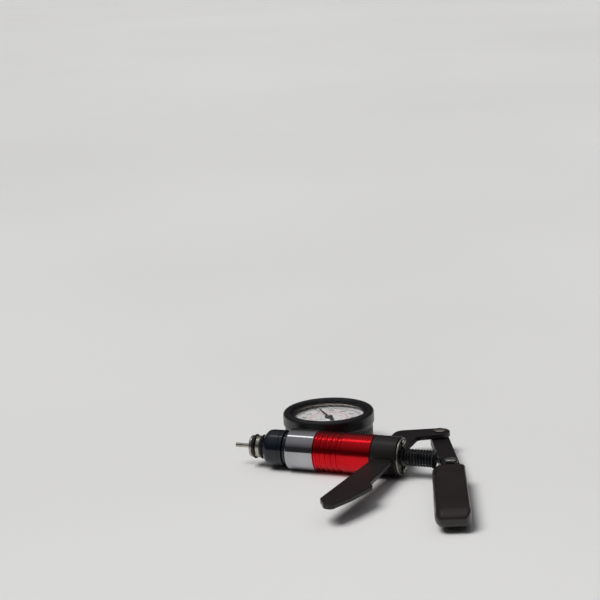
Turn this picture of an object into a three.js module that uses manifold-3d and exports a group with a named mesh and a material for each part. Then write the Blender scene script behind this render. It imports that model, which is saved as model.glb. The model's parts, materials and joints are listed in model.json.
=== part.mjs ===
// Hand vacuum pump lying on its side, in millimetres.
// +X runs along the barrel from the hose nozzle to the lever, +Y points from the barrel to the
// gauge, and +Z is the way the gauge faces. Positions below are measured from the middle of the
// barrel's rear plate; the last lines move the origin to the middle of the footprint.
import * as THREE from "three";
import { mergeVertices } from "three/addons/utils/BufferGeometryUtils.js";
import Module from "manifold-3d";

const wasm = await Module();
wasm.setup();

// ---- Driving dimensions -------------------------------------------------------------------
const GAP = 0.3; // clearance between pieces that touch or slide
const ROUND = 32; // sides of a turned piece
const SMALL_ROUND = 16; // sides of a small turned piece

const BODY_R = 15.5; // head
const BARREL_R = 15;
const COLLAR_R = 14.8;
const BORE_R = 12.4; // barrel bore
const ROD_R = 3;
const SPIGOT_R = BORE_R - GAP; // what is turned to go inside the bore
const TAIL_STEP = 1.4; // how far the barrel's tail is turned down to enter the collar

// Stations along the barrel axis, from the front to the rear.
const NOZZLE_TIP = -133;
const FITTING_FRONT = -120;
const KNOB_FRONT = -107.5;
const NECK_FRONT = -91.5;
const HEAD_FRONT = -88;
const BARREL_FRONT = -66;
const COLLAR_FRONT = -21;
const PLATE_FRONT = -1.2;
const SPRING_FRONT = 2;
const SPRING_REAR = 23.4;

const NOZZLE_R = 1.6;
const NOZZLE_BORE_R = 0.9;
const FITTING_R = 8.2;
const KNOB_R = 13.7;
const NECK_R = 12.5;
const SPINDLE_R = 4.5;
const SPINDLE_FRONT = FITTING_FRONT + 4;
const SPINDLE_REAR = HEAD_FRONT + 10;
const PASSAGE_R = 2; // air passage through the spindle and head

const RIB_COUNT = 4;
const RIB_FIRST = 4.8; // first rib behind the barrel's front end
const RIB_PITCH = 4.3;
const RIB_WIDTH = 2.4;
const RIB_HEIGHT = 0.7;

const PLATE_T = 1.2;
const PLATE_R = 13.9;
const COLLAR_FLOOR_T = 2.2; // the collar's closed rear end, behind the barrel's tail
const FLOOR_HOLE_R = BORE_R - 5; // the hole in it for the rod bush
const SCREW_Z = 10; // plate screws stand above and below the rod
const SCREW_R = 1.5;

const SPRING_R = 5.6; // to the middle of the wire
const WIRE_R = 0.65;
const SPRING_TURNS = 6.5;

const FRAME_T = 4; // flat handle and bracket arm
const ARM_END_R = 8;
const PIVOT = [9.3, 60.5];
const ROD_PIN_X = 36.3;
const LEVER_END = [68.5, -92.6];
const LEVER_W = 14;
const LEVER_WALL = 2.2;
const LEVER_DEPTH = 7;
const LEVER_TOP = -FRAME_T / 2 - GAP;
const PIVOT_PIN_R = 2.5;
const ROD_PIN_R = 2;
const PIN_HEAD_R = 4.5;
const PIN_BOTTOM = LEVER_TOP - LEVER_WALL - 2.6; // both pins end below their clips
const CLIP_T = 1;
const SLOT_W = 5.6; // the rod pin moves sideways and along the lever in this slot
const SLOT_REACH = 5.2;

const GRIP_LENGTH = 104;
const GRIP_START = 11; // below the rod pin, along the lever
const GRIP_BACK = 10.3; // from the lever's centreline to the outer side
const GRIP_FRONT = 13.8; // to the crown of the finger side
const GRIP_T = 13.5;

const GAUGE = [-77, 52];
const BOOT_R = 35;
const BOOT_TOP = 16;
const BOOT_BOTTOM = -BODY_R;
const BOOT_WALL = 3;
const WINDOW_R = 28.5;
const CASE_R = BOOT_R - BOOT_WALL - GAP;
const CASE_T = 0.9;
const DIAL_Z = 8;
const LENS_Z = 12.4;
const ZERO_ANGLE = Math.PI / 4; // the needle rests at zero, this far to the left of straight up
const STEM_R = 4.6;
const SHAFT_R = 1; // the needle's shaft

// ---- Materials ----------------------------------------------------------------------------
const FINISH = {
  redAnodised: { color: 0xb80d1c, metalness: 0.9, roughness: 0.28 },
  chrome: { color: 0xc8c8cc, metalness: 1, roughness: 0.12 },
  steel: { color: 0xaaa69c, metalness: 1, roughness: 0.35 },
  brass: { color: 0xb08d4a, metalness: 1, roughness: 0.35 },
  aluminium: { color: 0xb9bbbe, metalness: 1, roughness: 0.4 },
  blackPaint: { color: 0x151515, metalness: 0.2, roughness: 0.45 },
  springBlack: { color: 0x1b1c1e, metalness: 0.8, roughness: 0.4 },
  blackPlastic: { color: 0x0c0e14, metalness: 0, roughness: 0.2 },
  nylon: { color: 0x141414, metalness: 0, roughness: 0.5 },
  gripRubber: { color: 0x1d1a1b, metalness: 0, roughness: 0.6 },
  bootRubber: { color: 0x131314, metalness: 0, roughness: 0.55 },
  sealRubber: { color: 0x0b0b0b, metalness: 0, roughness: 0.7 },
  dialWhite: { color: 0xf2efec, metalness: 0, roughness: 0.6 },
  needleBlack: { color: 0x1a1a1a, metalness: 0, roughness: 0.5 },
  lens: { color: 0xf4f8fa, metalness: 0, roughness: 0.05, transparent: true, opacity: 0.3 },
};

const pump = new THREE.Group();

function addPiece(name, geometry, finish) {
  const mesh = new THREE.Mesh(geometry, new THREE.MeshStandardMaterial(FINISH[finish]));
  mesh.name = name;
  pump.add(mesh);
  return mesh;
}

// ---- Shape helpers ------------------------------------------------------------------------

// Merges shared vertices, drops triangles of no area and turns the faces outwards.
function closed(geometry) {
  geometry.deleteAttribute("normal");
  geometry.deleteAttribute("uv");
  const merged = mergeVertices(geometry, 1e-4);
  const position = merged.getAttribute("position");
  const corner = [new THREE.Vector3(), new THREE.Vector3(), new THREE.Vector3()];
  const kept = [];
  let volume = 0;
  for (let i = 0; i < merged.index.count; i += 3) {
    const ids = [0, 1, 2].map((k) => merged.index.getX(i + k));
    if (new Set(ids).size < 3) {
      continue;
    }
    ids.forEach((id, k) => corner[k].fromBufferAttribute(position, id));
    volume += corner[0].dot(corner[1].clone().cross(corner[2]));
    kept.push(...ids);
  }
  merged.setIndex(volume < 0 ? kept.reverse() : kept);
  return merged;
}

function toSolid(geometry) {
  const clean = closed(geometry.clone());
  return new wasm.Manifold(
    new wasm.Mesh({
      numProp: 3,
      vertProperties: new Float32Array(clean.getAttribute("position").array),
      triVerts: new Uint32Array(clean.index.array),
    }),
  );
}

function toGeometry(solid) {
  const mesh = solid.getMesh();
  const geometry = new THREE.BufferGeometry();
  geometry.setAttribute("position", new THREE.BufferAttribute(mesh.vertProperties, 3));
  geometry.setIndex(new THREE.BufferAttribute(mesh.triVerts, 1));
  return closed(geometry);
}

function join(first, ...others) {
  return toGeometry(others.reduce((solid, other) => solid.add(toSolid(other)), toSolid(first)));
}

function cut(first, ...tools) {
  return toGeometry(tools.reduce((solid, tool) => solid.subtract(toSolid(tool)), toSolid(first)));
}

// Turned about the X axis; a profile is a list of [x, radius].
function turned(profile, sides = ROUND) {
  const points = profile.map(([x, r]) => new THREE.Vector2(r, x));
  return closed(new THREE.LatheGeometry(points, sides).rotateZ(-Math.PI / 2));
}

// Turned about a vertical axis through (x, y); a profile is a list of [z, radius].
function turnedUp(profile, [x, y], sides = ROUND) {
  const points = profile.map(([z, r]) => new THREE.Vector2(r, z));
  return closed(new THREE.LatheGeometry(points, sides).rotateX(Math.PI / 2).translate(x, y, 0));
}

const rod = (from, to, radius) => [[from, 0], [from, radius], [to, radius], [to, 0]];
const tube = (from, to, inner, outer) => [
  [from, inner], [from, outer], [to, outer], [to, inner], [from, inner],
];

function oRing(x, ringR, cordR) {
  return closed(new THREE.TorusGeometry(ringR, cordR, 6, ROUND).rotateY(Math.PI / 2).translate(x, 0, 0));
}

// A bar along Y from y0 to y1 at (x, 0).
function barAlongY(x, y0, y1, radius, sides = ROUND) {
  const bar = new THREE.CylinderGeometry(radius, radius, y1 - y0, sides);
  return closed(bar.translate(x, (y0 + y1) / 2, 0));
}

// A flat outline between two heights, with its edges bevelled.
function plate(shape, bottom, top, bevel = 0, curveSegments = 8) {
  const geometry = new THREE.ExtrudeGeometry(shape, {
    depth: top - bottom - 2 * bevel,
    bevelEnabled: bevel > 0,
    bevelThickness: bevel,
    bevelSize: bevel,
    bevelOffset: -bevel,
    bevelSegments: 2,
    curveSegments,
  });
  return closed(geometry.translate(0, 0, bottom + bevel));
}

// The outline of a strip with round ends from a to b.
function strip(a, b, radius) {
  const along = Math.atan2(b[1] - a[1], b[0] - a[0]);
  const shape = new THREE.Shape();
  shape.absarc(a[0], a[1], radius, along + Math.PI / 2, along + 1.5 * Math.PI, false);
  shape.absarc(b[0], b[1], radius, along - Math.PI / 2, along + Math.PI / 2, false);
  shape.closePath();
  return shape;
}

// The point that lies `distance` from a towards b.
function towards(a, b, distance) {
  const step = distance / Math.hypot(b[0] - a[0], b[1] - a[1]);
  return [a[0] + (b[0] - a[0]) * step, a[1] + (b[1] - a[1]) * step];
}

// ---- Nozzle, fitting and selector knob ----------------------------------------------------

function buildFront() {
  const nozzle = tube(NOZZLE_TIP, SPINDLE_FRONT - GAP, NOZZLE_BORE_R, NOZZLE_R);
  addPiece("nozzle", turned(nozzle, SMALL_ROUND), "steel");

  const band = FITTING_R;
  const grooveR = FITTING_R - 1.5;
  const fitting = turned([
    [FITTING_FRONT, NOZZLE_R + GAP], [FITTING_FRONT, band - 1], [FITTING_FRONT + 1, band],
    [FITTING_FRONT + 2.2, band], [FITTING_FRONT + 2.2, grooveR],
    [FITTING_FRONT + 5.4, grooveR], [FITTING_FRONT + 5.4, band],
    [FITTING_FRONT + 8.4, band], [FITTING_FRONT + 8.4, grooveR],
    [FITTING_FRONT + 11.2, grooveR], [FITTING_FRONT + 11.2, band], [KNOB_FRONT - GAP, band],
    [KNOB_FRONT - GAP, SPINDLE_R + GAP], [SPINDLE_FRONT - GAP, SPINDLE_R + GAP],
    [SPINDLE_FRONT - GAP, NOZZLE_R + GAP], [FITTING_FRONT, NOZZLE_R + GAP],
  ]);
  addPiece("hose_fitting", fitting, "steel");
  const cordR = 1.1;
  const ringR = grooveR + GAP + cordR;
  addPiece("fitting_o_ring_front", oRing(FITTING_FRONT + 3.8, ringR, cordR), "sealRubber");
  addPiece("fitting_o_ring_rear", oRing(FITTING_FRONT + 9.8, ringR, cordR), "sealRubber");

  const spindle = tube(SPINDLE_FRONT, SPINDLE_REAR, PASSAGE_R, SPINDLE_R);
  addPiece("selector_spindle", turned(spindle, 24), "brass");

  const bored = SPINDLE_R + GAP;
  const steps = 4;
  const shoulderRun = 5;
  const shoulderRise = 3.1;
  const knobFace = KNOB_R - shoulderRise;
  const knob = [[KNOB_FRONT, bored], [KNOB_FRONT, knobFace]];
  for (let step = 1; step <= steps; step += 1) {
    const angle = ((step / steps) * Math.PI) / 2;
    const x = KNOB_FRONT + shoulderRun * (1 - Math.cos(angle));
    knob.push([x, knobFace + shoulderRise * Math.sin(angle)]);
  }
  knob.push([NECK_FRONT - GAP, KNOB_R], [NECK_FRONT - GAP, bored], [KNOB_FRONT, bored]);
  addPiece("selector_knob", turned(knob), "blackPlastic");

  const neck = tube(NECK_FRONT, HEAD_FRONT - GAP, bored, NECK_R);
  addPiece("neck_ring", turned(neck), "blackPlastic");
}

// ---- Head, barrel and valves --------------------------------------------------------------

function buildBarrel() {
  const chamfer = 1;
  const spigotRear = BARREL_FRONT + 8;
  const sealX = BARREL_FRONT + 4;
  const sealGroove = 1.4;
  const headBlank = turned([
    [HEAD_FRONT, SPINDLE_R + GAP], [HEAD_FRONT, BODY_R - chamfer], [HEAD_FRONT + chamfer, BODY_R],
    [BARREL_FRONT - chamfer, BODY_R], [BARREL_FRONT, BODY_R - chamfer], [BARREL_FRONT, SPIGOT_R],
    [sealX - sealGroove, SPIGOT_R], [sealX - sealGroove, SPIGOT_R - 2.2],
    [sealX + sealGroove, SPIGOT_R - 2.2], [sealX + sealGroove, SPIGOT_R],
    [spigotRear, SPIGOT_R], [spigotRear, PASSAGE_R], [SPINDLE_REAR + GAP, PASSAGE_R],
    [SPINDLE_REAR + GAP, SPINDLE_R + GAP], [HEAD_FRONT, SPINDLE_R + GAP],
  ]);
  const gaugePort = barAlongY(GAUGE[0], 4, BODY_R + 4, STEM_R + GAP);
  const gaugePassage = barAlongY(GAUGE[0], 0, 6, PASSAGE_R, SMALL_ROUND);
  addPiece("head", cut(headBlank, gaugePort, gaugePassage), "chrome");
  addPiece("barrel_o_ring", oRing(sealX, SPIGOT_R - 0.9, 0.8), "sealRubber");

  const front = BARREL_FRONT + GAP;
  const outer = [[front, BORE_R], [front, BARREL_R]];
  for (let rib = 0; rib < RIB_COUNT; rib += 1) {
    const middle = BARREL_FRONT + RIB_FIRST + rib * RIB_PITCH;
    outer.push([middle - RIB_WIDTH / 2, BARREL_R - RIB_HEIGHT], [middle - RIB_WIDTH / 4, BARREL_R]);
    outer.push([middle + RIB_WIDTH / 4, BARREL_R], [middle + RIB_WIDTH / 2, BARREL_R - RIB_HEIGHT]);
  }
  const tail = BARREL_R - TAIL_STEP; // the barrel's turned-down tail sits inside the collar
  const tailRear = PLATE_FRONT - GAP - COLLAR_FLOOR_T - GAP;
  const ribsRear = BARREL_FRONT + RIB_FIRST + RIB_COUNT * RIB_PITCH;
  outer.push([ribsRear, BARREL_R], [COLLAR_FRONT - GAP, BARREL_R]);
  outer.push([COLLAR_FRONT - GAP, tail], [tailRear, tail], [tailRear, BORE_R], [front, BORE_R]);
  addPiece("barrel", turned(outer), "redAnodised");

  const blockFront = spigotRear + GAP;
  const blockRear = blockFront + 9;
  const chamberR = 2.6;
  const portR = PASSAGE_R - 0.6;
  const blockR = SPIGOT_R - 0.2;
  const block = turned([
    [blockFront, chamberR], [blockFront, blockR], [blockRear, blockR], [blockRear, portR],
    [blockFront + 6, portR], [blockFront + 5, chamberR], [blockFront, chamberR],
  ]);
  addPiece("valve_block", block, "aluminium");
  const ball = new THREE.SphereGeometry(2, 12, 8).translate(blockFront + 3, 0, 0);
  addPiece("valve_ball", closed(ball), "steel");
  const flap = tube(blockRear + GAP, blockRear + GAP + 1, 1.2, 8);
  addPiece("valve_flap", turned(flap, 24), "sealRubber");
}

// ---- Collar, handle and bracket arm: one casting -------------------------------------------

function buildCollar() {
  const collarRear = PLATE_FRONT - GAP;
  const tail = BARREL_R - TAIL_STEP + GAP;
  const step = collarRear - COLLAR_FLOOR_T;
  const ring = turned([
    [COLLAR_FRONT, tail], [COLLAR_FRONT, COLLAR_R], [collarRear, COLLAR_R],
    [collarRear, FLOOR_HOLE_R], [step, FLOOR_HOLE_R], [step, tail], [COLLAR_FRONT, tail],
  ]);

  // Fixed handle: straight front edge, pointed foot, and a step for the palm on its rear edge.
  const handle = new THREE.Shape();
  handle.moveTo(-18.2, -9);
  handle.lineTo(-18.9, -16);
  handle.lineTo(-25.2, -102);
  handle.quadraticCurveTo(-25.4, -105, -23.8, -108);
  handle.lineTo(-20.4, -113.8);
  handle.quadraticCurveTo(-18.6, -116.6, -15.8, -116.6);
  handle.quadraticCurveTo(-11.6, -116.6, -9.4, -111.5);
  handle.quadraticCurveTo(-7, -106, -4.4, -95);
  handle.lineTo(1, -72.5);
  handle.quadraticCurveTo(1.6, -68, -0.7, -66);
  handle.quadraticCurveTo(-2.8, -64.2, -2.8, -60.5);
  handle.lineTo(-3.4, -20);
  handle.lineTo(-3, -9);
  handle.closePath();

  // Bracket arm: up beside the barrel, then back to the lever's pivot.
  const arm = new THREE.Shape();
  arm.moveTo(-20.3, 10);
  arm.lineTo(-20.3, 15.6);
  arm.quadraticCurveTo(-22.8, 19, -22.9, 26);
  arm.lineTo(-23.2, 45);
  arm.quadraticCurveTo(-23.2, 53.4, -17, 56.7);
  arm.absarc(PIVOT[0], PIVOT[1], ARM_END_R, 0.65 * Math.PI, -0.33 * Math.PI, true);
  arm.lineTo(1.5, 47.4);
  arm.quadraticCurveTo(-2.7, 45, -2.7, 38);
  arm.lineTo(-2.7, 10);
  arm.closePath();

  const half = FRAME_T / 2;
  const edge = 0.7;
  const casting = join(ring, plate(handle, -half, half, edge), plate(arm, -half, half, edge));
  const bore = turned(rod(COLLAR_FRONT - 2, step, tail));
  const rodWindow = turned(rod(step - 1, collarRear + 1, FLOOR_HOLE_R));
  const screwHoles = [SCREW_Z, -SCREW_Z].map((z) =>
    turned(rod(step - 1, collarRear + 1, SCREW_R + GAP), SMALL_ROUND).translate(0, 0, z));
  const pivotHole = plate(strip(PIVOT, [PIVOT[0] + 0.01, PIVOT[1]], PIVOT_PIN_R + GAP), -5, 5);
  addPiece("collar_frame", cut(casting, bore, rodWindow, ...screwHoles, pivotHole), "blackPaint");

  const bushR = 5;
  const plateBlank = turned(tube(PLATE_FRONT, PLATE_FRONT + PLATE_T, bushR + GAP, PLATE_R));
  const plateHoles = [SCREW_Z, -SCREW_Z].map((z) =>
    turned(rod(PLATE_FRONT - 1, 1, SCREW_R + GAP), SMALL_ROUND).translate(0, 0, z));
  addPiece("rear_plate", cut(plateBlank, ...plateHoles), "steel");
  ["upper", "lower"].forEach((name, i) => {
    const z = SCREW_Z * (1 - 2 * i);
    const screw = turned([
      [step - 2, 0], [step - 2, SCREW_R], [GAP, SCREW_R], [GAP, 2.9], [1.4, 2.9], [2.2, 2], [2.4, 0],
    ], SMALL_ROUND);
    addPiece(`plate_screw_${name}`, screw.translate(0, 0, z), "steel");
  });

  const bush = turned([
    [step - 6, ROD_R + GAP], [step - 6, bushR], [GAP, bushR], [GAP, 7], [GAP + 0.9, 7],
    [GAP + 0.9, ROD_R + GAP], [step - 6, ROD_R + GAP],
  ], 24);
  addPiece("rod_bush", bush, "nylon");
}

// ---- Pins of the lever ----------------------------------------------------------------------

// A pin with a low domed head, whose underside is at height `seat`.
function addPin(name, at, radius, seat) {
  const pin = turnedUp([
    [PIN_BOTTOM, 0], [PIN_BOTTOM, radius], [seat, radius], [seat, PIN_HEAD_R],
    [seat + 0.6, PIN_HEAD_R], [seat + 1.2, PIN_HEAD_R * 0.6], [seat + 1.4, 0],
  ], at, 20);
  addPiece(name, pin, "steel");
}

// The clip that keeps a pin in the lever.
function addClip(name, at, radius) {
  const top = LEVER_TOP - LEVER_WALL - GAP;
  const clip = tube(top - CLIP_T, top, radius + 0.2, radius + 2.2);
  addPiece(name, turnedUp(clip, at, 20), "steel");
}

// ---- Piston, rod and return spring ---------------------------------------------------------

function buildPiston() {
  const eyeR = 6;
  const eyeTop = 0;
  const eyeBottom = LEVER_TOP + GAP;
  const pistonRear = -14;
  const sealFront = pistonRear - 6;
  const pistonFront = sealFront - 3.5;
  const nutFront = pistonFront - 4;

  const shank = turned(rod(nutFront - 1, ROD_PIN_X - eyeR + 1.5, ROD_R), SMALL_ROUND);
  const reach = 2 * eyeR;
  const height = 6;
  const flats = [eyeTop + height / 2, eyeBottom - height / 2].map((z) => {
    const box = new THREE.BoxGeometry(reach, reach, height);
    return box.translate(SPRING_REAR + 1.5 + GAP + eyeR, 0, z);
  });
  const eye = plate(strip([ROD_PIN_X - 1.2, 0], [ROD_PIN_X, 0], eyeR - 0.4), eyeBottom, eyeTop);
  const pinHole = turnedUp(rod(-9, 9, ROD_PIN_R + GAP), [ROD_PIN_X, 0], SMALL_ROUND);
  addPiece("piston_rod", cut(join(cut(shank, ...flats), eye), pinHole), "springBlack");

  const outer = BORE_R - 0.4;
  const bored = ROD_R + GAP;
  addPiece("piston", turned(tube(sealFront + GAP, pistonRear, bored, outer)), "aluminium");
  const lip = 1.4;
  const cup = turned([
    [sealFront, bored], [sealFront, outer], [pistonFront - 2, outer], [pistonFront - 2, outer - lip],
    [pistonFront + 1.2, outer - lip - 0.6], [pistonFront + 1.2, bored], [sealFront, bored],
  ]);
  addPiece("cup_seal", cup, "sealRubber");
  const washer = tube(pistonFront - 0.6, pistonFront + 0.9, bored, 7.5);
  addPiece("piston_washer", turned(washer, 24), "steel");
  const hexagon = turned(rod(nutFront, pistonFront - 0.9, 5.6), 6);
  const nutHole = turned(rod(nutFront - 1, 0, bored), SMALL_ROUND);
  addPiece("piston_nut", cut(hexagon, nutHole), "brass");

  const springSeat = tube(SPRING_REAR, SPRING_REAR + 1.2, bored, 7);
  addPiece("spring_washer", turned(springSeat, 24), "springBlack");

  const coilFront = SPRING_FRONT + WIRE_R;
  const coilLength = SPRING_REAR - GAP - WIRE_R - coilFront;
  const steps = Math.round(SPRING_TURNS * 12);
  const helix = [];
  for (let i = 0; i <= steps; i += 1) {
    const angle = (i / steps) * SPRING_TURNS * 2 * Math.PI;
    helix.push(
      new THREE.Vector3(
        coilFront + (coilLength * i) / steps,
        SPRING_R * Math.cos(angle),
        SPRING_R * Math.sin(angle),
      ),
    );
  }
  const wire = new THREE.Shape();
  wire.absarc(0, 0, WIRE_R, 0, 2 * Math.PI, false);
  const spring = new THREE.ExtrudeGeometry(wire, {
    steps,
    curveSegments: 3,
    extrudePath: new THREE.CatmullRomCurve3(helix),
  });
  addPiece("return_spring", closed(spring), "springBlack");

  addPin("rod_pin", [ROD_PIN_X, 0], ROD_PIN_R, eyeTop + GAP);
  addClip("rod_pin_clip", [ROD_PIN_X, 0], ROD_PIN_R);
}

// ---- Lever, grip and pivot -----------------------------------------------------------------

function buildLever() {
  const rodPin = [ROD_PIN_X, 0];
  const half = LEVER_W / 2;
  const bottom = LEVER_TOP - LEVER_DEPTH;
  const inner = half - LEVER_WALL;
  const edge = 0.9;
  const shell = join(
    plate(strip(PIVOT, rodPin, half), bottom, LEVER_TOP, edge),
    plate(strip(rodPin, LEVER_END, half), bottom, LEVER_TOP, edge),
  );
  const hollow = join(
    plate(strip(PIVOT, rodPin, inner), bottom - 1, LEVER_TOP - LEVER_WALL),
    plate(strip(rodPin, LEVER_END, inner), bottom - 1, LEVER_TOP - LEVER_WALL),
  );
  const pivotHole = turnedUp(rod(-9, 0, PIVOT_PIN_R + GAP), PIVOT, SMALL_ROUND);
  const slotFar = towards(rodPin, PIVOT, -0.4);
  const slotNear = towards(rodPin, PIVOT, SLOT_REACH);
  const slot = plate(strip(slotFar, slotNear, SLOT_W / 2), -9, 0);
  addPiece("lever", cut(shell, hollow, pivotHole, slot), "blackPaint");

  // Grip sleeve: a flat back, a rounded finger side and a rounded foot, moulded round the lever.
  const section = new THREE.Shape();
  const depth = GRIP_T / 2;
  const corner = 3;
  section.moveTo(-GRIP_BACK + corner, depth);
  section.lineTo(GRIP_FRONT - 2 * corner, depth);
  section.quadraticCurveTo(GRIP_FRONT, depth, GRIP_FRONT, 0);
  section.quadraticCurveTo(GRIP_FRONT, -depth, GRIP_FRONT - 2 * corner, -depth);
  section.lineTo(-GRIP_BACK + corner, -depth);
  section.quadraticCurveTo(-GRIP_BACK, -depth, -GRIP_BACK, corner - depth);
  section.lineTo(-GRIP_BACK, depth - corner);
  section.quadraticCurveTo(-GRIP_BACK, depth, -GRIP_BACK + corner, depth);
  const bevel = 0.8;
  const sleeve = new THREE.ExtrudeGeometry(section, {
    depth: GRIP_LENGTH - 2 * bevel,
    bevelThickness: bevel,
    bevelSize: bevel,
    bevelOffset: -bevel,
    bevelSegments: 2,
    curveSegments: 6,
  });
  // The extrusion runs down the lever, with the finger side facing the fixed handle.
  const down = new THREE.Vector3(LEVER_END[0] - rodPin[0], LEVER_END[1], 0).normalize();
  const toFingers = new THREE.Vector3(down.y, -down.x, 0);
  const up = new THREE.Vector3().crossVectors(down, toFingers);
  const place = new THREE.Matrix4().makeBasis(toFingers, up, down);
  const [startX, startY] = towards(rodPin, LEVER_END, GRIP_START + bevel);
  place.setPosition(startX, startY, LEVER_TOP - LEVER_DEPTH / 2);
  sleeve.applyMatrix4(place);
  const socket = join(
    plate(strip(PIVOT, rodPin, half + GAP), bottom - GAP, LEVER_TOP + GAP),
    plate(strip(rodPin, LEVER_END, half + GAP), bottom - GAP, LEVER_TOP + GAP),
  );
  addPiece("lever_grip", cut(closed(sleeve), socket), "gripRubber");

  addPin("pivot_pin", PIVOT, PIVOT_PIN_R, FRAME_T / 2 + GAP);
  addClip("pivot_clip", PIVOT, PIVOT_PIN_R);
}

// ---- Gauge ---------------------------------------------------------------------------------

function buildGauge() {
  const [x, y] = GAUGE;
  const floor = BOOT_BOTTOM + BOOT_WALL;
  const lip = BOOT_TOP - 2.4; // underside of the boot's lip, which holds the gauge in
  const stemHole = barAlongY(x, BODY_R, y - 10, STEM_R + GAP);

  const boot = turnedUp([
    [BOOT_BOTTOM, 0], [BOOT_BOTTOM, BOOT_R - 3.5], [BOOT_BOTTOM + 2.5, BOOT_R - 1.2],
    [BOOT_TOP - 11, BOOT_R - 1.2], [BOOT_TOP - 9.5, BOOT_R], [BOOT_TOP - 3.5, BOOT_R],
    [BOOT_TOP - 1, BOOT_R - 1.6], [BOOT_TOP, BOOT_R - 4], [BOOT_TOP - 1.2, WINDOW_R],
    [lip, WINDOW_R], [lip, CASE_R + GAP], [floor, CASE_R + GAP], [floor, 0],
  ], GAUGE, 40);
  addPiece("gauge_boot", cut(boot, stemHole), "bootRubber");

  const pan = floor + GAP;
  const rim = BOOT_TOP - 3.8;
  const gaugeCase = turnedUp([
    [pan, 0], [pan, CASE_R], [rim, CASE_R], [rim, CASE_R - CASE_T], [pan + CASE_T, CASE_R - CASE_T],
    [pan + CASE_T, 0],
  ], GAUGE, 40);
  addPiece("gauge_case", cut(gaugeCase, stemHole), "steel");
  const bezel = tube(rim + GAP, lip - GAP, WINDOW_R - 0.2, CASE_R);
  addPiece("gauge_bezel", turnedUp(bezel, GAUGE, 40), "blackPaint");
  const clearR = CASE_R - CASE_T - GAP;
  addPiece("gauge_lens", turnedUp(rod(LENS_Z - 1.5, rim - GAP, clearR), GAUGE, 40), "lens");
  const dial = tube(DIAL_Z, DIAL_Z + 0.8, SHAFT_R + 2 * GAP, clearR);
  addPiece("gauge_dial", turnedUp(dial, GAUGE, 40), "dialWhite");

  const movementTop = DIAL_Z - 1;
  const movement = cut(
    closed(new THREE.BoxGeometry(22, 16, 9).translate(x, y + 3, movementTop - 4.5)),
    turnedUp(rod(movementTop - 4, movementTop + 1, SHAFT_R + GAP), GAUGE, SMALL_ROUND),
  );
  addPiece("gauge_movement", movement, "brass");

  // The pressure tube is a C of flattened tube round the movement, open beside the stem.
  const tubeR = 20;
  const tubeHalf = 1.5;
  const tubeHeight = 6;
  const opening = 0.9;
  const ring = new THREE.Shape();
  const start = -Math.PI / 2 + opening;
  const end = 1.5 * Math.PI - opening;
  ring.absarc(x, y, tubeR + tubeHalf, start, end, false);
  ring.absarc(x, y, tubeR - tubeHalf, end, start, true);
  ring.closePath();
  addPiece("pressure_tube", plate(ring, -4, -4 + tubeHeight, 0, 24), "brass");

  const shaft = turnedUp(rod(movementTop - 3, LENS_Z - 2, SHAFT_R), GAUGE, SMALL_ROUND);
  addPiece("pointer_shaft", shaft, "brass");
  const blade = new THREE.Shape();
  blade.moveTo(-1.1, 0);
  blade.lineTo(-1.4, -9);
  blade.lineTo(1.4, -9);
  blade.lineTo(1.1, 0);
  blade.lineTo(0.35, 22);
  blade.lineTo(-0.35, 22);
  blade.closePath();
  const hub = turned(rod(0, 0.8, 3), SMALL_ROUND).rotateY(-Math.PI / 2);
  const needleBlank = join(plate(blade, 0, 0.8), hub).rotateZ(ZERO_ANGLE).translate(x, y, DIAL_Z + 1.3);
  const shaftHole = turnedUp(rod(DIAL_Z, LENS_Z, SHAFT_R + GAP), GAUGE, SMALL_ROUND);
  addPiece("needle", cut(needleBlank, shaftHole), "needleBlack");

  const stem = join(
    barAlongY(x, 6.5, y - 12, STEM_R, 24),
    new THREE.BoxGeometry(13, 9, 9).translate(x, y - 14, 0),
  );
  const bored = barAlongY(x, 6, y - 13, PASSAGE_R - 0.6, SMALL_ROUND);
  addPiece("gauge_stem", cut(stem, bored), "brass");
}

buildFront();
buildBarrel();
buildCollar();
buildPiston();
buildLever();
buildGauge();

// The origin moves to the middle of the footprint, on the ground.
const box = new THREE.Box3().setFromObject(pump);
const middle = box.getCenter(new THREE.Vector3());
pump.position.set(-middle.x, -middle.y, -box.min.z);

export default pump;
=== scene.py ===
"""The looks of a hand vacuum pump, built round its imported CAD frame.

Shapes are in millimetres from the middle of the barrel's rear plate, with X along the barrel, Y towards
the gauge and Z up. place() moves a finished shape into the frame's metres.
"""

import json
import math

import bmesh
import bpy
from mathutils import Matrix, Vector


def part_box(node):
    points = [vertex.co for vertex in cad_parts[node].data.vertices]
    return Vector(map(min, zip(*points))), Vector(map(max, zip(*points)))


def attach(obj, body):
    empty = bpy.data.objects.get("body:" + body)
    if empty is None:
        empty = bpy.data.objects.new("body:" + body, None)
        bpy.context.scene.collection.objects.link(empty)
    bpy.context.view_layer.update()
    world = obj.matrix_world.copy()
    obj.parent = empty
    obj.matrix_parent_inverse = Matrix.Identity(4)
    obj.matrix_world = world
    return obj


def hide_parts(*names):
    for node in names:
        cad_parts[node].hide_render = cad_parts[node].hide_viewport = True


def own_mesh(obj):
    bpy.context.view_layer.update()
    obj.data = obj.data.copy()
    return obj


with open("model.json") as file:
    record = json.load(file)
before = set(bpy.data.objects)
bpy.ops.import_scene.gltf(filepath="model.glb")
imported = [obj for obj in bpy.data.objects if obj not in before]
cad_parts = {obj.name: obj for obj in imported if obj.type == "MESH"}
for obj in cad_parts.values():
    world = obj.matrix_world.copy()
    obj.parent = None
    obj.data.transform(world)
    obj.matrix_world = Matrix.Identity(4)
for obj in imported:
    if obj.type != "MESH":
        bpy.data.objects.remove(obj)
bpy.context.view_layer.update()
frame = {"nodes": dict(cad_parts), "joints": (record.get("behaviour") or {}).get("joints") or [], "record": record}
NODES = frame["nodes"]
JOINTS = {joint["name"]: joint for joint in frame["joints"]}
MM = 0.001


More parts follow.
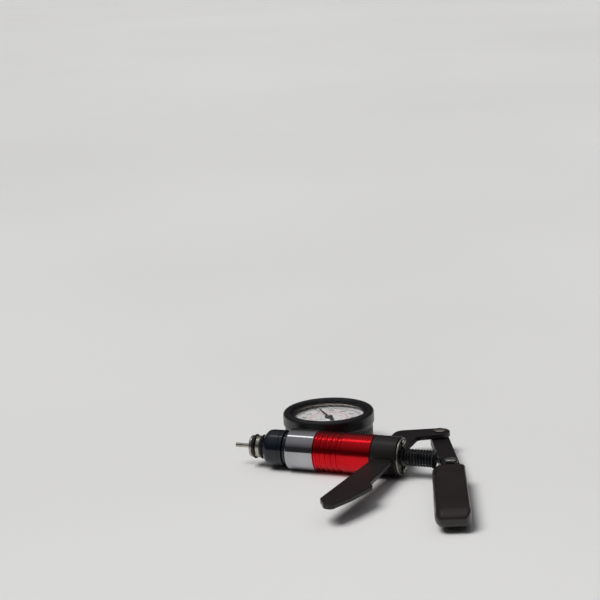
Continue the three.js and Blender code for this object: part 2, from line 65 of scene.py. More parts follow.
# ---- Places and sizes from the frame --------------------------------------------------------

PLATE_LOW, PLATE_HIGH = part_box("rear_plate")
ORIGIN = Vector((PLATE_HIGH.x, (PLATE_LOW.y + PLATE_HIGH.y) / 2, (PLATE_LOW.z + PLATE_HIGH.z) / 2))


def local(point):
    """A point of the frame, in millimetres from the middle of the rear plate."""
    return (Vector(point) - ORIGIN) / MM


def reach(node):
    """The lowest and highest corners of a CAD node, in millimetres."""
    low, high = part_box(node)
    return local(low), local(high)


def along(node):
    """Front end, rear end and radius of a CAD node that is turned about the barrel's axis."""
    low, high = reach(node)
    return low.x, high.x, high.y


def upright(node):
    """Middle, bottom, top and radius of a CAD node that is turned about an upright axis."""
    low, high = reach(node)
    middle = (low + high) / 2
    return (middle.x, middle.y), low.z, high.z, (high.x - low.x) / 2


PIVOT = local(JOINTS["lever_squeeze"]["pos_m"]).xy
ROD_PIN = Vector(upright("rod_pin")[0])
GRIP_LOW, GRIP_HIGH = reach("lever_grip")

# ---- Meshes -----------------------------------------------------------------------------------

SIDES = 128  # of a large turned piece
SMALL_SIDES = 48
ARC = 6  # steps in a rounded corner
GAP = 0.3  # clearance between pieces that touch or slide


def rounded(corners):
    """A closed outline whose corners, given as (u, v) or (u, v, radius), are rounded by true arcs."""
    points = []
    for i, corner in enumerate(corners):
        here = Vector(corner[:2])
        radius = corner[2] if len(corner) > 2 else 0
        if radius == 0:
            points.append(here)
            continue
        before = Vector(corners[i - 1][:2]) - here
        after = Vector(corners[(i + 1) % len(corners)][:2]) - here
        half = before.angle(after) / 2
        tangent = min(radius / math.tan(half), 0.49 * before.length, 0.49 * after.length)
        bisector = (before.normalized() + after.normalized()).normalized()
        centre = here + bisector * tangent / math.cos(half)
        start = here + before.normalized() * tangent - centre
        end = here + after.normalized() * tangent - centre
        sweep = start.angle(end)
        for step in range(ARC + 1):
            share = step / ARC
            spoke = start * math.sin((1 - share) * sweep) + end * math.sin(share * sweep)
            points.append(centre + spoke / math.sin(sweep))
    return points


def skin(bm, ring, following):
    """Faces between two rings of vertices; a ring of one vertex is a point."""
    count = max(len(ring), len(following))
    for i in range(count):
        j = (i + 1) % count
        corners = []
        for vertex in (ring[i % len(ring)], ring[j % len(ring)], following[j % len(following)],
                       following[i % len(following)]):
            if vertex not in corners:
                corners.append(vertex)
        if len(corners) > 2:
            bm.faces.new(corners)


def lathe(outline, sides=SIDES, radius_at=None):
    """Turns a closed outline of (along, radius) about the X axis.

    radius_at(along, radius, angle) gives the radius of a shape that isn't quite round.
    """
    bm = bmesh.new()
    rings = []
    for run, radius in outline:
        if radius < 1e-6:
            rings.append([bm.verts.new((run, 0, 0))])
            continue
        ring = []
        for side in range(sides):
            angle = 2 * math.pi * side / sides
            r = radius_at(run, radius, angle) if radius_at else radius
            ring.append(bm.verts.new((run, r * math.cos(angle), r * math.sin(angle))))
        rings.append(ring)
    for ring, following in zip(rings, rings[1:] + rings[:1]):
        skin(bm, ring, following)
    bmesh.ops.recalc_face_normals(bm, faces=bm.faces)
    return bm


def upright_lathe(outline, middle, sides=SIDES, radius_at=None):
    """Turns a closed outline of (height, radius) about an upright axis through middle."""
    bm = lathe(outline, sides, radius_at)
    # X becomes up, Y becomes X and Z becomes Y.
    stand = Matrix(((0, 1, 0), (0, 0, 1), (1, 0, 0))).to_4x4()
    bm.transform(Matrix.Translation((middle[0], middle[1], 0)) @ stand)
    return bm


def slab(outline, bottom, top, edge=0.0, steps=3):
    """A flat plate between two heights, with its upper and lower edges rounded."""
    bm = bmesh.new()
    lower = [bm.verts.new((x, y, bottom)) for x, y in outline]
    upper = [bm.verts.new((x, y, top)) for x, y in outline]
    rims = [bm.faces.new(lower), bm.faces.new(upper)]
    skin(bm, lower, upper)
    bmesh.ops.recalc_face_normals(bm, faces=bm.faces)
    if edge:
        edges = {e for face in rims for e in face.edges}
        bmesh.ops.bevel(bm, geom=list(edges), offset=edge, segments=steps, profile=0.5, affect="EDGES")
    return bm


def ribbon(line, radius, arc=16):
    """The outline of a strip of even width along a line of points, with round ends."""
    outline = []
    for path in (line, line[::-1]):
        path = [Vector(point) for point in path]
        for before, here, after in zip(path, path[1:], path[2:]):
            mean = ((here - before).normalized() + (after - here).normalized()) / 2
            outline.append(here + mean.orthogonal() * radius / mean.length_squared)
        end = path[-1]
        heading = end - path[-2]
        left = math.atan2(heading.y, heading.x) + math.pi / 2
        for step in range(arc + 1):
            angle = left - math.pi * step / arc
            outline.append(end + Vector((math.cos(angle), math.sin(angle))) * radius)
    return outline


def loft(rings):
    """A closed solid through rings of points, each with the same count."""
    bm = bmesh.new()
    made = [[bm.verts.new(point) for point in ring] for ring in rings]
    for ring, following in zip(made, made[1:]):
        skin(bm, ring, following)
    bm.faces.new(made[0])
    bm.faces.new(made[-1])
    bmesh.ops.recalc_face_normals(bm, faces=bm.faces)
    return bm


def scratch(bm):
    mesh = bpy.data.meshes.new("scratch")
    bm.to_mesh(mesh)
    bm.free()
    item = bpy.data.objects.new("scratch", mesh)
    bpy.context.scene.collection.objects.link(item)
    return item


def combine(solid, tools, operation):
    """Joins tools to a solid or cuts them out of it. They are used up, and the result is new."""
    item = scratch(solid)
    others = [scratch(tool) for tool in tools]
    for other in others:
        modifier = item.modifiers.new("combine", "BOOLEAN")
        modifier.operation = operation
        modifier.solver = "EXACT"
        modifier.object = other
    result = bmesh.new()
    result.from_object(item, bpy.context.evaluated_depsgraph_get())
    for used in (item, *others):
        bpy.data.meshes.remove(used.data)
    bmesh.ops.remove_doubles(result, verts=result.verts, dist=1e-4)
    return result


def join(solid, *tools):
    return combine(solid, tools, "UNION")


def cut(solid, *tools):
    return combine(solid, tools, "DIFFERENCE")


SMOOTH_BELOW = math.radians(35)  # edges flatter than this are shaded smooth


def place(name, bm, body, material, slot, *replaced):
    """Makes a shape a piece of the pump: in the frame's metres, on its body, in place of CAD nodes."""
    bm.transform(Matrix.Translation(ORIGIN) @ Matrix.Scale(MM, 4))
    mesh = bpy.data.meshes.new(name)
    bm.to_mesh(mesh)
    bm.free()
    mesh.polygons.foreach_set("use_smooth", [True] * len(mesh.polygons))
    mesh.set_sharp_from_angle(angle=SMOOTH_BELOW)
    mesh.materials.append(material)
    piece = bpy.data.objects.new(name, mesh)
    bpy.context.scene.collection.objects.link(piece)
    weighting = piece.modifiers.new("even_flats", "WEIGHTED_NORMAL")
    weighting.keep_sharp = True
    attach(piece, body)
    if replaced:
        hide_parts(*replaced)
    return piece


# ---- Materials --------------------------------------------------------------------------------


class Finish:
    """A material whose colour, roughness and bump come from noise in the piece's own metres."""

    def __init__(self, name, metallic=0.0, specular=0.5, coat=0.0, coat_roughness=0.1):
        self.material = bpy.data.materials.new(name)
        self.material.use_nodes = True
        self.tree = self.material.node_tree
        self.shader = self.tree.nodes["Principled BSDF"]
        self.shader.inputs["Metallic"].default_value = metallic
        self.shader.inputs["Specular IOR Level"].default_value = specular
        self.shader.inputs["Coat Weight"].default_value = coat
        self.shader.inputs["Coat Roughness"].default_value = coat_roughness
        self.coordinates = self.tree.nodes.new("ShaderNodeTexCoord")
        self.bump = None

    def link(self, output, target):
        self.tree.links.new(output, target)

    def noise(self, size_mm, detail=3.0, stretch=(1, 1, 1)):
        """Noise whose blobs are about size_mm across, and longer where stretch is above 1."""
        mapping = self.tree.nodes.new("ShaderNodeMapping")
        mapping.inputs["Scale"].default_value = [1 / (size_mm * MM * s) for s in stretch]
        self.link(self.coordinates.outputs["Object"], mapping.inputs["Vector"])
        noise = self.tree.nodes.new("ShaderNodeTexNoise")
        noise.inputs["Scale"].default_value = 1.0
        noise.inputs["Detail"].default_value = detail
        self.link(mapping.outputs["Vector"], noise.inputs["Vector"])
        return noise.outputs["Fac"]

    def colour(self, pattern, dark, light):
        ramp = self.tree.nodes.new("ShaderNodeValToRGB")
        ramp.color_ramp.elements[0].position = 0.35
        ramp.color_ramp.elements[0].color = (*dark, 1)
        ramp.color_ramp.elements[1].position = 0.65
        ramp.color_ramp.elements[1].color = (*light, 1)
        self.link(pattern, ramp.inputs["Fac"])
        self.link(ramp.outputs["Color"], self.shader.inputs["Base Color"])
        return self

    def roughness(self, pattern, low, high):
        spread = self.tree.nodes.new("ShaderNodeMapRange")
        spread.inputs["From Min"].default_value = 0.3
        spread.inputs["From Max"].default_value = 0.7
        spread.inputs["To Min"].default_value = low
        spread.inputs["To Max"].default_value = high
        self.link(pattern, spread.inputs["Value"])
        self.link(spread.outputs["Result"], self.shader.inputs["Roughness"])
        return self

    def relief(self, pattern, depth_mm):
        """Adds a bump of the pattern; bumps stack."""
        bump = self.tree.nodes.new("ShaderNodeBump")
        bump.inputs["Distance"].default_value = depth_mm * MM
        bump.inputs["Strength"].default_value = 1.0
        self.link(pattern, bump.inputs["Height"])
        if self.bump:
            self.link(self.bump.outputs["Normal"], bump.inputs["Normal"])
        self.link(bump.outputs["Normal"], self.shader.inputs["Normal"])
        self.bump = bump
        return self


TURNED = (0.08, 1, 1)  # noise squeezed along the barrel, as a lathe tool leaves it


def red_anodised():
    finish = Finish("red_anodised", metallic=1.0, coat=0.12, coat_roughness=0.15)
    tooling = finish.noise(3, stretch=TURNED)
    finish.colour(finish.noise(25), (0.62, 0.006, 0.012), (0.78, 0.010, 0.018))
    finish.roughness(tooling, 0.20, 0.28)
    return finish.relief(tooling, 0.006).material


def chrome():
    finish = Finish("chrome", metallic=1.0)
    # Base colour 0.40 to 0.48 is darker than polished chrome: painted shade standing in for the dark room the
    # chrome mirrors.
    finish.colour(finish.noise(18), (0.40, 0.40, 0.42), (0.48, 0.48, 0.50))
    finish.roughness(finish.noise(12, detail=6), 0.06, 0.14)
    return finish.relief(finish.noise(4, stretch=TURNED), 0.004).material


def plated_steel():
    finish = Finish("plated_steel", metallic=1.0)
    # Base colour is partly the plating's own tone and partly darkened as painted shade for the dark room it
    # mirrors.
    finish.colour(finish.noise(6), (0.44, 0.41, 0.35), (0.55, 0.53, 0.47))
    finish.roughness(finish.noise(3, detail=5), 0.22, 0.36)
    return finish.relief(finish.noise(0.8), 0.006).material


def brass():
    finish = Finish("brass", metallic=1.0)
    finish.colour(finish.noise(7), (0.58, 0.42, 0.18), (0.72, 0.55, 0.26))
    finish.roughness(finish.noise(3), 0.25, 0.4)
    return finish.relief(finish.noise(2, stretch=TURNED), 0.01).material


def aluminium():
    finish = Finish("aluminium", metallic=1.0)
    finish.colour(finish.noise(9), (0.66, 0.67, 0.69), (0.76, 0.77, 0.78))
    finish.roughness(finish.noise(3), 0.28, 0.42)
    return finish.relief(finish.noise(2, stretch=TURNED), 0.01).material


def black_paint():
    """Satin powder coat: an even orange peel, dulled a little by handling."""
    finish = Finish("black_paint", specular=0.4)
    finish.colour(finish.noise(30, detail=5), (0.007, 0.006, 0.006), (0.013, 0.010, 0.010))
    finish.roughness(finish.noise(14, detail=6), 0.30, 0.42)
    finish.relief(finish.noise(1.1, detail=2), 0.035)
    return finish.relief(finish.noise(0.35, detail=1), 0.008).material


def black_spring():
    finish = Finish("black_spring", metallic=0.5)
    finish.colour(finish.noise(4), (0.012, 0.013, 0.015), (0.03, 0.031, 0.034))
    finish.roughness(finish.noise(2), 0.26, 0.42)
    return finish.relief(finish.noise(0.8), 0.01).material


def black_plastic():
    """Glossy moulded plastic with a blue cast and a few fine scuffs."""
    finish = Finish("black_plastic", specular=0.4, coat=0.2, coat_roughness=0.08)
    finish.colour(finish.noise(20), (0.003, 0.004, 0.008), (0.005, 0.007, 0.013))
    finish.roughness(finish.noise(5, detail=8), 0.14, 0.26)
    return finish.relief(finish.noise(6), 0.008).material


def nylon():
    finish = Finish("nylon")
    finish.colour(finish.noise(5), (0.014, 0.014, 0.015), (0.024, 0.024, 0.025))
    finish.roughness(finish.noise(2), 0.4, 0.55)
    return finish.relief(finish.noise(1), 0.01).material


def grip_rubber():
    """Soft moulded grip: a fine pebbled skin, shinier where a hand rubs it."""
    finish = Finish("grip", specular=0.55)
    finish.colour(finish.noise(28, detail=4), (0.012, 0.008, 0.008), (0.019, 0.013, 0.013))
    finish.roughness(finish.noise(20, detail=6), 0.26, 0.36)
    finish.relief(finish.noise(0.9, detail=2), 0.02)
    return finish.relief(finish.noise(9), 0.02).material


def boot_rubber():
    finish = Finish("boot", specular=0.5)
    finish.colour(finish.noise(24, detail=4), (0.005, 0.005, 0.006), (0.010, 0.010, 0.011))
    finish.roughness(finish.noise(16, detail=6), 0.28, 0.40)
    return finish.relief(finish.noise(0.8, detail=2), 0.03).material


def seal_rubber():
    finish = Finish("seal", specular=0.5)
    finish.colour(finish.noise(6), (0.006, 0.006, 0.006), (0.012, 0.012, 0.012))
    finish.roughness(finish.noise(2), 0.3, 0.45)
    return finish.relief(finish.noise(0.7), 0.01).material


def dial_card():
    finish = Finish("dial", specular=0.4)
    # The card is white; this grey is painted shade, darkened to stand in for the dimmer light and reflections
    # under the lens.
    finish.colour(finish.noise(30), (0.47, 0.455, 0.45), (0.52, 0.505, 0.50))
    finish.roughness(finish.noise(4), 0.42, 0.55)
    return finish.relief(finish.noise(0.6), 0.004).material


def dial_ink(name, dark, light):
    finish = Finish(name, specular=0.4)
    finish.colour(finish.noise(3), dark, light)
    return finish.roughness(finish.noise(2), 0.4, 0.55).material


def pointer_paint():
    finish = Finish("pointer", specular=0.5)
    finish.colour(finish.noise(5), (0.012, 0.012, 0.012), (0.022, 0.022, 0.022))
    finish.roughness(finish.noise(3), 0.35, 0.5)
    return finish.relief(finish.noise(0.6), 0.006).material


def clear_lens():
    """Clear moulded lens. Lamps shine through it, so that the dial below is lit."""
    finish = Finish("lens", specular=0.5)
    shader = finish.shader
    shader.inputs["Base Color"].default_value = (0.96, 0.97, 0.975, 1)
    shader.inputs["Transmission Weight"].default_value = 1.0
    shader.inputs["IOR"].default_value = 1.49
    finish.roughness(finish.noise(14, detail=5), 0.0, 0.05)
    tree = finish.tree
    light_path = tree.nodes.new("ShaderNodeLightPath")
    see_through = tree.nodes.new("ShaderNodeBsdfTransparent")
    mix = tree.nodes.new("ShaderNodeMixShader")
    finish.link(light_path.outputs["Is Shadow Ray"], mix.inputs["Fac"])
    finish.link(shader.outputs["BSDF"], mix.inputs[1])
    finish.link(see_through.outputs["BSDF"], mix.inputs[2])
    finish.link(mix.outputs["Shader"], tree.nodes["Material Output"].inputs["Surface"])
    return finish.material


def floor_paint():
    finish = Finish("floor", specular=0.2)
    finish.colour(finish.noise(900), (0.74, 0.735, 0.725), (0.78, 0.775, 0.765))
    return finish.roughness(finish.noise(400), 0.6, 0.7).material


SLOTS = {
    "red_anodised": red_anodised(),
    "chrome": chrome(),
    "plated_steel": plated_steel(),
    "brass": brass(),
    "aluminium": aluminium(),
    "black_paint": black_paint(),
    "black_spring": black_spring(),
    "black_plastic": black_plastic(),
    "nylon": nylon(),
    "grip": grip_rubber(),
    "boot": boot_rubber(),
    "seal": seal_rubber(),
    "dial": dial_card(),
    "pointer": pointer_paint(),
    "lens": clear_lens(),
}
BLACK_INK = dial_ink("black_ink", (0.012, 0.012, 0.013), (0.02, 0.02, 0.021))
RED_INK = dial_ink("red_ink", (0.42, 0.012, 0.015), (0.5, 0.02, 0.02))


def add(name, bm, body, slot, *replaced):
    return place(name, bm, body, SLOTS[slot], slot, *replaced)


# ---- Camera, light and floor -------------------------------------------------------------------

LENS_MM = 120.36
CAMERA_YAW = math.radians(21.80)
CAMERA_PITCH = math.radians(13.44)
CAMERA_ROLL = math.radians(2.78)
PUMP_FROM_CAMERA = Vector((75.6, 115.2, 1474.2))  # the rear plate's middle: right, down and ahead, mm


def add_camera():
    across = Vector((math.cos(CAMERA_YAW), math.sin(CAMERA_YAW), 0))
    level = Vector((-math.sin(CAMERA_YAW), math.cos(CAMERA_YAW), 0))
    ahead = level * math.cos(CAMERA_PITCH) - Vector((0, 0, math.sin(CAMERA_PITCH)))
    below = ahead.cross(across)
    right = across * math.cos(CAMERA_ROLL) + below * math.sin(CAMERA_ROLL)
    down = below * math.cos(CAMERA_ROLL) - across * math.sin(CAMERA_ROLL)
    offset = PUMP_FROM_CAMERA * MM
    lens = bpy.data.cameras.new("camera")
    lens.lens = LENS_MM
    lens.clip_start = 0.05
    lens.clip_end = 50
    camera = bpy.data.objects.new("camera", lens)
    bpy.context.scene.collection.objects.link(camera)
    turn = Matrix((right, -down, -ahead)).transposed()
    where = ORIGIN - right * offset.x - down * offset.y - ahead * offset.z
    camera.matrix_world = Matrix.Translation(where) @ turn.to_4x4()
    bpy.context.scene.camera = camera


KEY_ENERGY = 2.4
KEY_AZIMUTH = math.radians(-40)
KEY_ELEVATION = math.radians(62)
KEY_ANGLE = math.radians(34)  # how wide the key light is, which softens the shadows


def add_key_light():
    lamp = bpy.data.lights.new("key", "SUN")
    lamp.energy = KEY_ENERGY
    lamp.angle = KEY_ANGLE
    light = bpy.data.objects.new("key", lamp)
    bpy.context.scene.collection.objects.link(light)
    level = Vector((math.sin(KEY_AZIMUTH), -math.cos(KEY_AZIMUTH), 0))
    towards = level * math.cos(KEY_ELEVATION) + Vector((0, 0, math.sin(KEY_ELEVATION)))
    light.location = ORIGIN + towards
    light.rotation_mode = "QUATERNION"
    light.rotation_quaternion = towards.to_track_quat("Z", "Y")
    light.visible_glossy = False  # shiny faces mirror the room's softbox instead


ROOM_DARK = (0.035, 0.034, 0.035, 1)  # level with the pump
ROOM_LIGHT = (0.42, 0.42, 0.43, 1)  # overhead
SOFTBOX_STRENGTH = 3.2
SOFTBOX_CENTRE = Vector((-0.35, 0.078))
SOFTBOX_HALF = Vector((0.26, 0.06))


def add_room():
    """A dark room that brightens upwards, with an oval softbox overhead, to the left of the pump."""
    world = bpy.data.worlds.new("studio")
    world.use_nodes = True
    bpy.context.scene.world = world
    nodes = world.node_tree.nodes
    link = world.node_tree.links.new
    coordinates = nodes.new("ShaderNodeTexCoord")
    split = nodes.new("ShaderNodeSeparateXYZ")
    room = nodes.new("ShaderNodeValToRGB")
    room.color_ramp.elements[0].position = 0.4
    room.color_ramp.elements[0].color = ROOM_DARK
    room.color_ramp.elements[1].position = 1.0
    room.color_ramp.elements[1].color = ROOM_LIGHT
    link(coordinates.outputs["Generated"], split.inputs["Vector"])
    link(split.outputs["Z"], room.inputs["Fac"])
    link(room.outputs["Color"], nodes["Background"].inputs["Color"])

    oval = nodes.new("ShaderNodeMapping")
    scale = Vector((1 / SOFTBOX_HALF.x, 1 / SOFTBOX_HALF.y))
    oval.inputs["Scale"].default_value = (*scale, 0)
    oval.inputs["Location"].default_value = (*(-SOFTBOX_CENTRE * scale), 0)
    distance = nodes.new("ShaderNodeVectorMath")
    distance.operation = "LENGTH"
    falloff = nodes.new("ShaderNodeMapRange")
    falloff.inputs["From Min"].default_value = 1.1
    falloff.inputs["From Max"].default_value = 0.75
    falloff.inputs["To Max"].default_value = SOFTBOX_STRENGTH
    softbox = nodes.new("ShaderNodeBackground")
    both = nodes.new("ShaderNodeAddShader")
    link(coordinates.outputs["Generated"], oval.inputs["Vector"])
    link(oval.outputs["Vector"], distance.inputs[0])
    link(distance.outputs["Value"], falloff.inputs["Value"])
    link(falloff.outputs["Result"], softbox.inputs["Strength"])
    link(nodes["Background"].outputs["Background"], both.inputs[0])
    link(softbox.outputs["Background"], both.inputs[1])
    link(both.outputs["Shader"], nodes["World Output"].inputs["Surface"])


FLOOR_HALF = 8.0  # metres


def add_floor():
    bm = bmesh.new()
    bmesh.ops.create_grid(bm, x_segments=8, y_segments=8, size=FLOOR_HALF)
    mesh = bpy.data.meshes.new("floor")
    bm.to_mesh(mesh)
    bm.free()
    mesh.materials.append(floor_paint())
    floor = bpy.data.objects.new("floor", mesh)
    bpy.context.scene.collection.objects.link(floor)


# ---- Nozzle, fitting and selector knob -----------------------------------------------------------


NOZZLE_BORE_R = 0.9
SPINDLE_BORE_R = 4.8  # the selector's spindle runs through the knob, neck and head


def add_front():
    front, rear, radius = along("nozzle")
    bore = NOZZLE_BORE_R
    tip = [(front, bore), (front, radius, 0.3), (rear, radius), (rear, bore)]
    add("nozzle_tube", lathe(rounded(tip), SMALL_SIDES), "pump_body", "plated_steel", "nozzle")

    front, rear, band = along("hose_fitting")
    groove = band - 1.5
    neck = radius + GAP
    grooves = [(front + 2.2, front + 5.4), (front + 8.4, front + 11.2)]
    outline = [(front, neck), (front, band, 0.9)]
    for start, end in grooves:
        outline += [(start, band, 0.35), (start, groove, 0.2), (end, groove, 0.2), (end, band, 0.35)]
    outline += [(rear, band), (rear, neck)]
    add("fitting_bands", lathe(rounded(outline)), "pump_body", "plated_steel", "hose_fitting")
    for name in ("fitting_o_ring_front", "fitting_o_ring_rear"):
        add_o_ring(name)

    front, rear, radius = along("selector_knob")
    bore = SPINDLE_BORE_R
    face = radius - 3.1
    groove = radius - 0.45
    outline = [(front, bore), (front, face, 0.4), (front + 2.6, radius - 0.5, 3.0),
               (front + 5.4, radius, 4.0), (rear - 3.4, radius, 0.3), (rear - 3.0, groove, 0.2),
               (rear - 2.4, groove, 0.2), (rear - 2.0, radius, 0.3), (rear, radius, 0.5), (rear, bore)]
    add("knob_shell", lathe(rounded(outline)), "knob", "black_plastic", "selector_knob")

    front, rear, radius = along("neck_ring")
    outline = [(front, bore), (front, radius, 0.5), (rear, radius, 0.5), (rear, bore)]
    add("neck_collar", lathe(rounded(outline)), "pump_body", "black_plastic", "neck_ring")


def add_o_ring(node):
    front, rear, radius = along(node)
    cord = (rear - front) / 2
    middle = (front + rear) / 2
    steps = 16
    outline = []
    for step in range(steps):
        angle = 2 * math.pi * step / steps
        outline.append((middle + cord * math.cos(angle), radius - cord + cord * math.sin(angle)))
    add(node + "_cord", lathe(outline), "pump_body", "seal", node)


# ---- Head and barrel ----------------------------------------------------------------------------

BARREL_BORE_R = 12.4
TAIL_R = 13.6  # the barrel's turned-down tail, inside the collar
COLLAR_FRONT = -21
RIB_COUNT = 4
RIB_FIRST = 4.5  # from the barrel's front end to the middle of the first rib
RIB_PITCH = 4.3
RIB_HALF = 1.1
RIB_HEIGHT = 0.7


def add_barrel():
    front, rear, radius = along("head")
    shoulder = along("barrel")[0] - GAP  # the head's spigot goes on into the barrel from here
    spigot = BARREL_BORE_R - 0.4
    outline = [(front, SPINDLE_BORE_R), (front, radius, 0.9), (shoulder, radius, 0.75), (shoulder, spigot),
               (rear, spigot), (rear, SPINDLE_BORE_R)]
    add("head_shell", lathe(rounded(outline)), "pump_body", "chrome", "head")

    front, rear, radius = along("barrel")
    low = radius - RIB_HEIGHT
    outline = [(front, BARREL_BORE_R), (front, radius, 0.5), (front + 1.9, radius, 0.5),
               (front + 2.3, low, 0.3)]
    for rib in range(RIB_COUNT):
        middle = front + RIB_FIRST + rib * RIB_PITCH
        outline += [(middle - RIB_HALF, low, 0.25), (middle - RIB_HALF * 0.6, radius, 0.45),
                    (middle + RIB_HALF * 0.6, radius, 0.45), (middle + RIB_HALF, low, 0.25)]
    end = front + RIB_FIRST + RIB_COUNT * RIB_PITCH
    outline += [(end - 0.9, low, 0.3), (end - 0.3, radius, 0.5), (COLLAR_FRONT - GAP, radius, 0.3),
                (COLLAR_FRONT - GAP, TAIL_R), (rear, TAIL_R), (rear, BARREL_BORE_R)]
    add("barrel_tube", lathe(rounded(outline)), "pump_body", "red_anodised", "barrel")


# ---- Collar, handle and bracket arm ---------------------------------------------------------------

COLLAR_R = 14.8
COLLAR_FLOOR_T = 2.2  # the collar's closed rear end, behind the barrel's tail
FLOOR_HOLE_R = 7.4
FRAME_HALF = 2.0  # half the thickness of the flat handle and arm
ARM_END_R = 8.0
PIVOT_PIN_R = 2.5
ROD_PIN_R = 2.0


def drill(middle, radius):
    """An upright cutter, longer than any hole in the flat pieces."""
    deep = 9
    return upright_lathe([(-deep, 0), (-deep, radius), (deep, radius), (deep, 0)], middle, SMALL_SIDES)


def arc_points(centre, radius, start, end, steps=18):
    points = []
    for step in range(steps + 1):
        angle = math.radians(start + (end - start) * step / steps)
        points.append(Vector(centre) + Vector((math.cos(angle), math.sin(angle))) * radius)
    return points


def add_collar():
    rear = along("rear_plate")[0] - GAP
    inner = TAIL_R + GAP
    face = rear - COLLAR_FLOOR_T
    ring = lathe(rounded([(COLLAR_FRONT, inner), (COLLAR_FRONT, COLLAR_R, 0.7), (rear, COLLAR_R, 0.7),
                          (rear, FLOOR_HOLE_R), (face, FLOOR_HOLE_R), (face, inner)]))

    handle = rounded([(-18.2, -9), (-18.9, -16, 8), (-25.5, -105.6, 3), (-19.2, -116.2, 3),
                      (-12.6, -117.4, 5), (-4.9, -97, 20), (1.6, -71.6, 4), (-2.8, -64.6, 3),
                      (-3.4, -20, 12), (-3, -9)])
    arm = rounded([(-2.7, 10), (-20.3, 10), (-20.3, 16.5, 7), (-23.1, 22.5, 9), (-23.3, 54.8, 9),
                   *arc_points(PIVOT, ARM_END_R, 117, -60), (-2.7, 45.2, 5)])
    plates = [slab(outline, -FRAME_HALF, FRAME_HALF, 0.75, 4) for outline in (handle, arm)]
    casting = join(ring, *plates)
    bore = lathe([(COLLAR_FRONT - 3, 0), (COLLAR_FRONT - 3, inner), (face, inner), (face, 0)])
    window = lathe([(face - 1, 0), (face - 1, FLOOR_HOLE_R), (rear + 4, FLOOR_HOLE_R), (rear + 4, 0)])
    eye = drill(PIVOT, PIVOT_PIN_R + GAP)
    add("collar_casting", cut(casting, bore, window, eye), "pump_body", "black_paint", "collar_frame")


ROD_R = 3.0
SCREW_R = 1.5
SCREW_HEAD_R = 2.9
BUSH_R = 5.0


def add_rear_plate():
    front, rear, radius = along("rear_plate")
    hole = BUSH_R + GAP
    outline = [(front, hole), (front, radius, 0.25), (rear, radius, 0.35), (rear, hole)]
    add("rear_disc", lathe(rounded(outline)), "pump_body", "plated_steel", "rear_plate")

    # A thin black disc over the plate's face is painted shade, standing in for the dark reflection there; it
    # leaves only the plate's bright rim showing.
    outline = [(rear, 7.2), (rear, radius - 0.8), (rear + 0.18, radius - 0.9), (rear + 0.18, 7.2)]
    add("rear_painted_shade_disc", lathe(outline), "pump_body", "seal")

    for name in ("plate_screw_upper", "plate_screw_lower"):
        low, high = reach(name)
        z = (low.z + high.z) / 2
        seat = rear + GAP
        dome = rear + 1.5
        outline = [(low.x, 0), (low.x, SCREW_R), (seat, SCREW_R), (seat, SCREW_HEAD_R, 0.3),
                   (dome, SCREW_HEAD_R, 0.6)]
        steps = 6
        for step in range(1, steps):
            angle = math.pi / 2 * step / steps
            outline.append((dome + 0.9 * math.sin(angle), SCREW_HEAD_R * math.cos(angle)))
        outline.append((dome + 0.9, 0))
        screw = lathe(rounded(outline), SMALL_SIDES)
        slots = []
        for half_y, half_z in ((1.7, 0.35), (0.35, 1.7)):
            corners = [(rear + 1.3, -half_y), (rear + 4, -half_y), (rear + 4, half_y), (rear + 1.3, half_y)]
            slots.append(slab(corners, -half_z, half_z))
        screw = cut(screw, *slots)
        screw.transform(Matrix.Translation((0, 0, z)))
        add(name + "_head", screw, "pump_body", "plated_steel", name)

    front, rear, radius = along("rod_bush")
    flange = rear - 0.9
    bore = ROD_R + GAP
    outline = [(front, bore), (front, BUSH_R), (flange, BUSH_R), (flange, radius, 0.2), (rear, radius, 0.4),
               (rear, bore, 0.3)]
    add("bush_flange", lathe(rounded(outline), SMALL_SIDES), "pump_body", "nylon", "rod_bush")


# ---- Piston rod and return spring ------------------------------------------------------------------

SPRING_R = 5.6  # to the middle of the wire
WIRE_R = 0.8
SPRING_TURNS = 9
DEAD_TURNS = 0.75  # closed turns at each end
EYE_LOW, EYE_HIGH = -2.0, 0.0  # faces of the rod's flat eye


def add_rod():
    low = reach("piston_rod")[0]
    washer_front, washer_rear, washer_r = along("spring_washer")
    eye_r = 5.6
    flat_start = washer_rear + 0.6
    flat_end = flat_start + 20
    shank_end = flat_start + 4
    outline = [(low.x, 0), (low.x, ROD_R, 0.4), (shank_end, ROD_R), (shank_end, 0)]
    shank = lathe(rounded(outline), SMALL_SIDES)
    flat = [(flat_start, -9), (flat_end, -9), (flat_end, 9), (flat_start, 9)]
    shank = cut(shank, slab(flat, EYE_HIGH, 9), slab(flat, -9, EYE_LOW))
    eye = slab(ribbon([ROD_PIN - Vector((1.2, 0)), ROD_PIN], eye_r), EYE_LOW, EYE_HIGH, 0.3, 2)
    rod = cut(join(shank, eye), drill(ROD_PIN, ROD_PIN_R + GAP))
    add("rod_and_eye", rod, "piston_set", "black_spring", "piston_rod")

    bore = ROD_R + GAP
    outline = [(washer_front, bore), (washer_front, washer_r, 0.3), (washer_rear, washer_r, 0.35),
               (washer_rear, bore)]
    add("spring_seat", lathe(rounded(outline)), "piston_set", "black_spring", "spring_washer")


